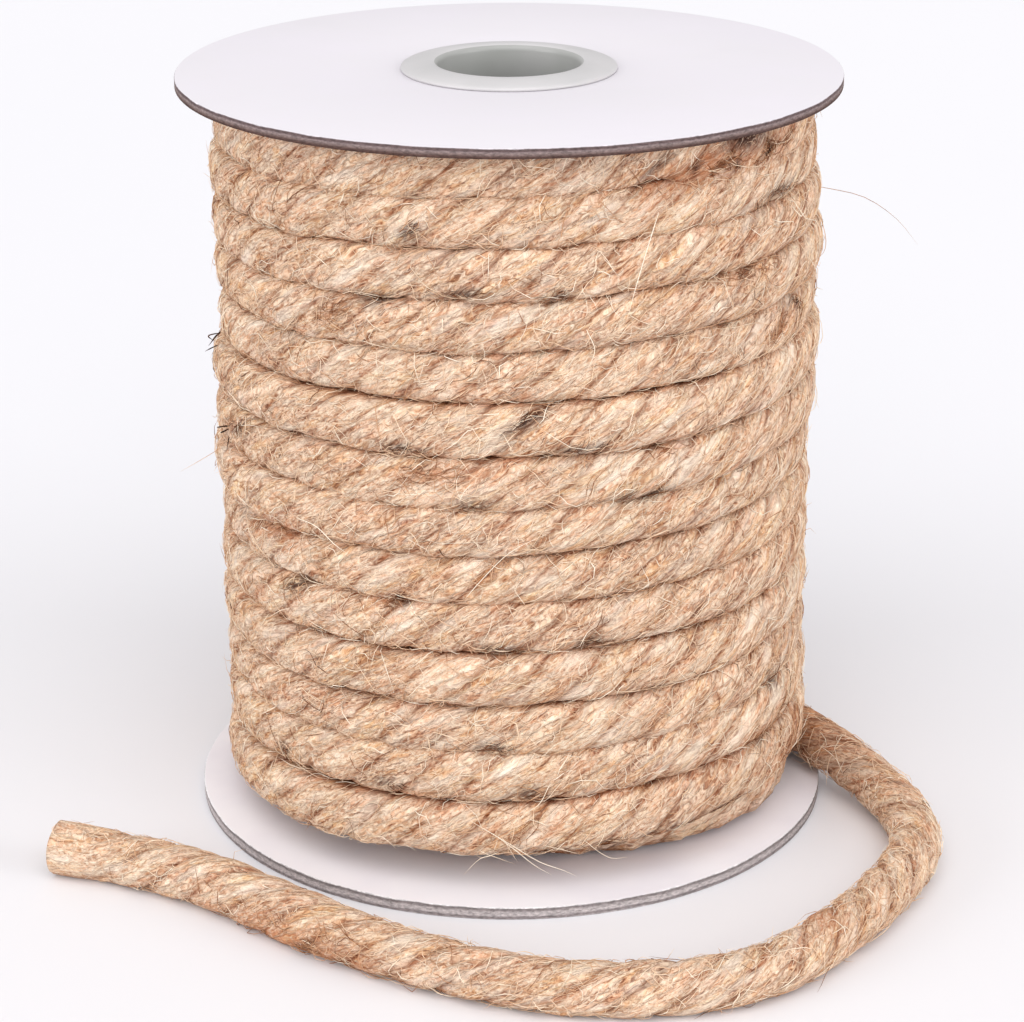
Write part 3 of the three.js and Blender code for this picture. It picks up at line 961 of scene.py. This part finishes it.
# Dark fibres in each fleck, rusty ones in each stain, and those of the rope of the layer beneath
gathered = []
clusters = [(place, FLECK_FIBRES, 0.45, 0.03, 0.2) for place in FLECKS]
clusters += [(place[:5], STAIN_FIBRES, 0.6, 0.17, 0.4) for place in STAINS]
for (degrees, height, long, wide, slope), count, spread, least, most in clusters:
    nearest, around = on_winding(degrees, height)
    middle = np.interp(nearest, turns_at, wound.s)
    line, reach = wound, neighbours(np.full(count, nearest))
    if height > 108 and degrees > 20:
        line, reach = started, (None, None)
        middle = math.radians(degrees - START_ROUTE[0][0]) * 40
        around = math.asin(min(1, max(-1, (111.2 - height) / ROPE_RADIUS)))
    along = rng.normal(0, spread * long, count)
    across = rng.normal(0, spread * wide, count)
    tilt = math.radians(slope)
    s = middle + along * math.cos(tilt) - across * math.sin(tilt)
    drop = -(along * math.sin(tilt) + across * math.cos(tilt)) / ROPE_RADIUS
    gathered.append((
        hair(
            line, s, around + drop, rng.normal(-tilt, 0.3, count),
            (0.6 * long + 1) * rng.uniform(0.4, 1.1, count), rng.uniform(0.04, 0.2, count),
            np.zeros(count), rng.normal(0, 0.5, count), 4, *reach,
        ),
        rng.uniform(0.035, 0.065, count),
        rng.uniform(least, most, count),
    ))
lines, thick, tones = stray_fibres(started, 12, started.s[-1] - 12, 450, 61, 1.7)
gathered.append((lines, thick, np.minimum(tones, 0.75)))
fleck_lines = np.concatenate([g[0] for g in gathered])
fleck_lines[..., 2] = np.clip(fleck_lines[..., 2], LOWER_BOARD + 0.1, REEL_HEIGHT - UPPER_BOARD - 0.1)
fleck_fibres = fibre_object(
    "fleck_fibres", fleck_lines, np.concatenate([g[1] for g in gathered]),
    np.concatenate([g[2] for g in gathered]), strays,
)
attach(fleck_fibres, "root")

# Long single fibres: half thickness, tone, and points
LONG_FIBRES = (
    # The long one that stands out on the right, and one that curls close to the winding there
    (0.05, 0.3, (
        (45.6, -5, 99.9), (48, -5, 99.5), (53.5, -5, 98.1), (58.5, -5, 94.7), (61.9, -5, 90.6),
    )),
    (0.06, 0.45, ((46.2, -5, 96.3), (46.9, -5, 95.1), (47.9, -5, 91.4), (47.6, -5, 89.5), (46, -5, 88))),
    # On the left, with two dark tufts
    (0.05, 0.4, ((-43.5, -10, 60.8), (-45.5, -10, 59.5), (-48.1, -10, 57.9), (-50.9, -10, 56.3))),
    (0.16, 0.0, ((-43.8, -10, 78.9), (-44.6, -10, 78.1), (-45.7, -10, 76.6))),
    (0.12, 0.0, ((-44.2, -10, 78.6), (-45.7, -10, 78.1), (-44.7, -10, 77.3))),
    (0.10, 0.0, ((-44.3, -10, 76.7), (-45.4, -10, 76.2), (-46.3, -10, 75.7))),
    (0.14, 0.0, ((-44.5, -14, 64.9), (-42.5, -14.9, 65.4), (-41.3, -15.3, 65.1))),
    (0.14, 0.0, ((-44.0, -14.2, 64.1), (-43.2, -14.6, 64.6), (-41.8, -15.2, 65.6))),
    (0.10, 0.0, ((-42.5, -14.9, 64.6), (-42.7, -15.0, 63.4), (-43.1, -14.8, 61.3))),
    # Hanging over the lower board in front
    (0.07, 1.0, (
        (-6, -46.6, 14.6), (0.1, -47.3, 10.9), (4.2, -47.4, 8.2), (7.5, -47.4, 6.9),
        (9.8, -47.2, 5.7),
    )),
    (0.07, 0.95, ((-2.8, -46.8, 12.7), (0.5, -47.3, 10.2), (3.4, -47.4, 7.7), (6, -47.2, 5.9))),
    (0.06, 0.9, ((-1.5, -46.6, 12.1), (-0.7, -47.0, 10.9), (0.9, -47.0, 8.0))),
    (0.06, 0.9, ((-1.9, -46.2, 9.3), (-3.2, -47.0, 9.1), (-4.7, -47.2, 8.7), (-7.2, -47.0, 5.9))),
    (0.05, 0.8, ((-4.9, -46.0, 9.6), (-3.9, -46.9, 9.4), (-2.0, -47.0, 8.7), (0.5, -47.0, 7.7))),
    (0.05, 0.9, ((10.6, -45.3, 10.9), (13.1, -45.9, 9.0), (14.9, -46.0, 8.1), (17.3, -45.6, 8.1))),
    (0.05, 0.9, ((4.6, -46.4, 10.5), (7.9, -46.7, 9.8), (10.1, -46.5, 9.0))),
    # Lying over the turns
    (0.07, 1.0, ((20.6, -42.6, 106), (19.2, -43.3, 101.5), (17.6, -43.9, 96), (16.3, -44.2, 91))),
    (0.06, 0.95, ((10.6, -45.8, 90.2), (11.8, -45.9, 87.2), (10.9, -45.8, 84.4))),
    (0.07, 1.0, ((-6.5, -46.2, 50), (-4.1, -46.9, 53.2), (0, -47.2, 57.5), (5.7, -46.6, 60.3))),
    (0.07, 1.0, ((-31.4, -34.4, 58), (-28.2, -37.4, 57.7), (-25.5, -39.6, 55.8), (-23.4, -40.7, 54.6))),
    (0.06, 0.95, ((5.7, -46.6, 20.7), (4.1, -47.2, 17.7), (2.0, -46.8, 15.9))),
)
longs = np.stack([catmull_rom(route, 12)[:: len(route) - 1] for _, _, route in LONG_FIBRES])
long_fibres = fibre_object(
    "long_fibres", longs, np.array([f[0] for f in LONG_FIBRES]),
    np.array([f[1] for f in LONG_FIBRES]), strays,
)
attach(long_fibres, "root")

# Boards. The lower one's face is given whiter paper than the upper one's: painted light, making up
# # for the shade that the winding and the upper board cast on it
papers = (
    paper_material("paper_face_lightened", (0.87, 0.84, 0.87)),
    paper_material("paper_face", (0.76, 0.73, 0.77)),
)
BOARD_SEGMENTS = 192
# Bands of each board's edge, from its lower face up
LOWER_BANDS = (
    (0.0, (0.62, 0.58, 0.58)),
    (0.1, (0.30, 0.26, 0.26)),
    (0.22, (0.27, 0.235, 0.235)),
    (0.34, (0.55, 0.50, 0.50)),
    (0.62, (0.50, 0.45, 0.45)),
    (0.76, (0.27, 0.235, 0.235)),
    (0.88, (0.24, 0.21, 0.21)),
    (0.97, (0.86, 0.84, 0.85)),
)
# The upper board's edge is dark brown towards its lower face: painted shade from the rope close beneath
# it
UPPER_BANDS = (
    (0.0, (0.07, 0.035, 0.027)),
    (0.22, (0.10, 0.058, 0.05)),
    (0.42, (0.21, 0.15, 0.14)),
    (0.6, (0.26, 0.20, 0.195)),
    (0.76, (0.12, 0.08, 0.08)),
    (0.92, (0.14, 0.10, 0.10)),
    (1.0, (0.75, 0.71, 0.75)),
)
# The hub passes through both, and its lower rim lies in a recess in the lower one
BOARD_HOLE = 12.55
RECESS_RADIUS, RECESS_TOP = 16.6, 1.1
EDGE_ROUNDING = 0.16
LOWER_HOLE = [
    (BOARD_HOLE, LOWER_BOARD), (BOARD_HOLE, RECESS_TOP), (RECESS_RADIUS, RECESS_TOP),
    (RECESS_RADIUS, 0.0),
]
UPPER_HOLE = [(BOARD_HOLE, REEL_HEIGHT), (BOARD_HOLE, REEL_HEIGHT - UPPER_BOARD)]
for paper, name, node, hole, bands in (
    (papers[0], "board_lower", "lower_flange", LOWER_HOLE, LOWER_BANDS),
    (papers[1], "board_upper", "upper_flange", UPPER_HOLE, UPPER_BANDS),
):
    high, low = hole[0][1], hole[-1][1]
    edge = edge_material(f"{name}_edge", low, high, bands)
    outline = rounded(hole + [(BOARD_RADIUS, low), (BOARD_RADIUS, high)], EDGE_ROUNDING)
    radii = np.array([q[0] for q in outline])
    slots = (np.minimum(radii, np.roll(radii, -1)) > BOARD_RADIUS - 0.1).astype(int)
    board = lathe(name, outline, BOARD_SEGMENTS, [paper, edge], slots)
    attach(board, "root")
    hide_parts(node)

# Hub
RIM = (
    (COLLAR_BORE, -9.2), (COLLAR_BORE, 0.35), (10.82, 0.68), (10.98, 0.94), (11.22, 1.12),
    (11.6, 1.24), (12.2, 1.3), (13.0, 1.27), (13.8, 1.17), (14.6, 1.03), (15.4, 0.83),
    (15.9, 0.66), (16.2, 0.5), (16.3, 0.3), (16.2, 0.05),
)
hub_outline = [(HUB_RADIUS, 0.8), (16.2, 0.8), (16.3, 0.7), (16.3, 0.1), (16.2, 0.0)]
hub_outline += [(12.2, 0.0), (11.6, 0.1), (11.2, 0.35), (10.9, 0.65), (COLLAR_BORE, 1.0)]
hub_outline += [(COLLAR_BORE, 2.8), (10.9, 2.95), (HUB_BORE, 3.0)]
hub_outline += [(HUB_BORE, 107.4), (10.9, 107.5)]
hub_outline += [(r, REEL_HEIGHT + rise) for r, rise in RIM]
hub_outline += [(HUB_RADIUS, REEL_HEIGHT + 0.03)]
hub_outline = hub_outline[::-1]
radii = np.array([q[0] for q in hub_outline])
bore = ((radii < 11.4) & (np.roll(radii, -1) < 11.4)).astype(int)
# The bore gets a darker copy of the hub's plastic: painted shade inside it
tube = lathe("hub_tube", hub_outline, 160, [
    plastic_material("hub_plastic", (0.52, 0.51, 0.512), (0.56, 0.545, 0.55)),
    plastic_material("hub_bore_painted_shade", (0.34, 0.345, 0.33), (0.38, 0.38, 0.37)),
], bore)
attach(tube, "root")
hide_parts("hub")

# Floor and lights
floor = mesh_object(
    "floor", [(-4000, -4000, -0.02), (4000, -4000, -0.02), (4000, 4000, -0.02), (-4000, 4000, -0.02)],
    [(0, 1, 2, 3)], [floor_material("floor_white")], smooth=False,
)

world = bpy.data.worlds.new("studio")
world.use_nodes = True
world.node_tree.nodes["Background"].inputs["Color"].default_value = (1.0, 0.99, 1.0, 1.0)
world.node_tree.nodes["Background"].inputs["Strength"].default_value = 0.66
bpy.context.scene.world = world


# Broad, soft lights, one from above the camera and a low one from each side of it: name, height
# and side in degrees, energy, and width in degrees
for name, height, side, energy, width in (
    ("key", 50, 0, 1.55, 60), ("fill_left", 13, -62, 1.3, 36), ("fill_right", 13, 62, 1.3, 36),
):
    sun = bpy.data.lights.new(name, "SUN")
    sun.energy = energy
    sun.angle = math.radians(width)
    light = bpy.data.objects.new(name, sun)
    light.rotation_euler = (math.radians(90 - height), 0, math.radians(side))
    bpy.context.scene.collection.objects.link(light)

bpy.context.scene.view_settings.view_transform = "Standard"
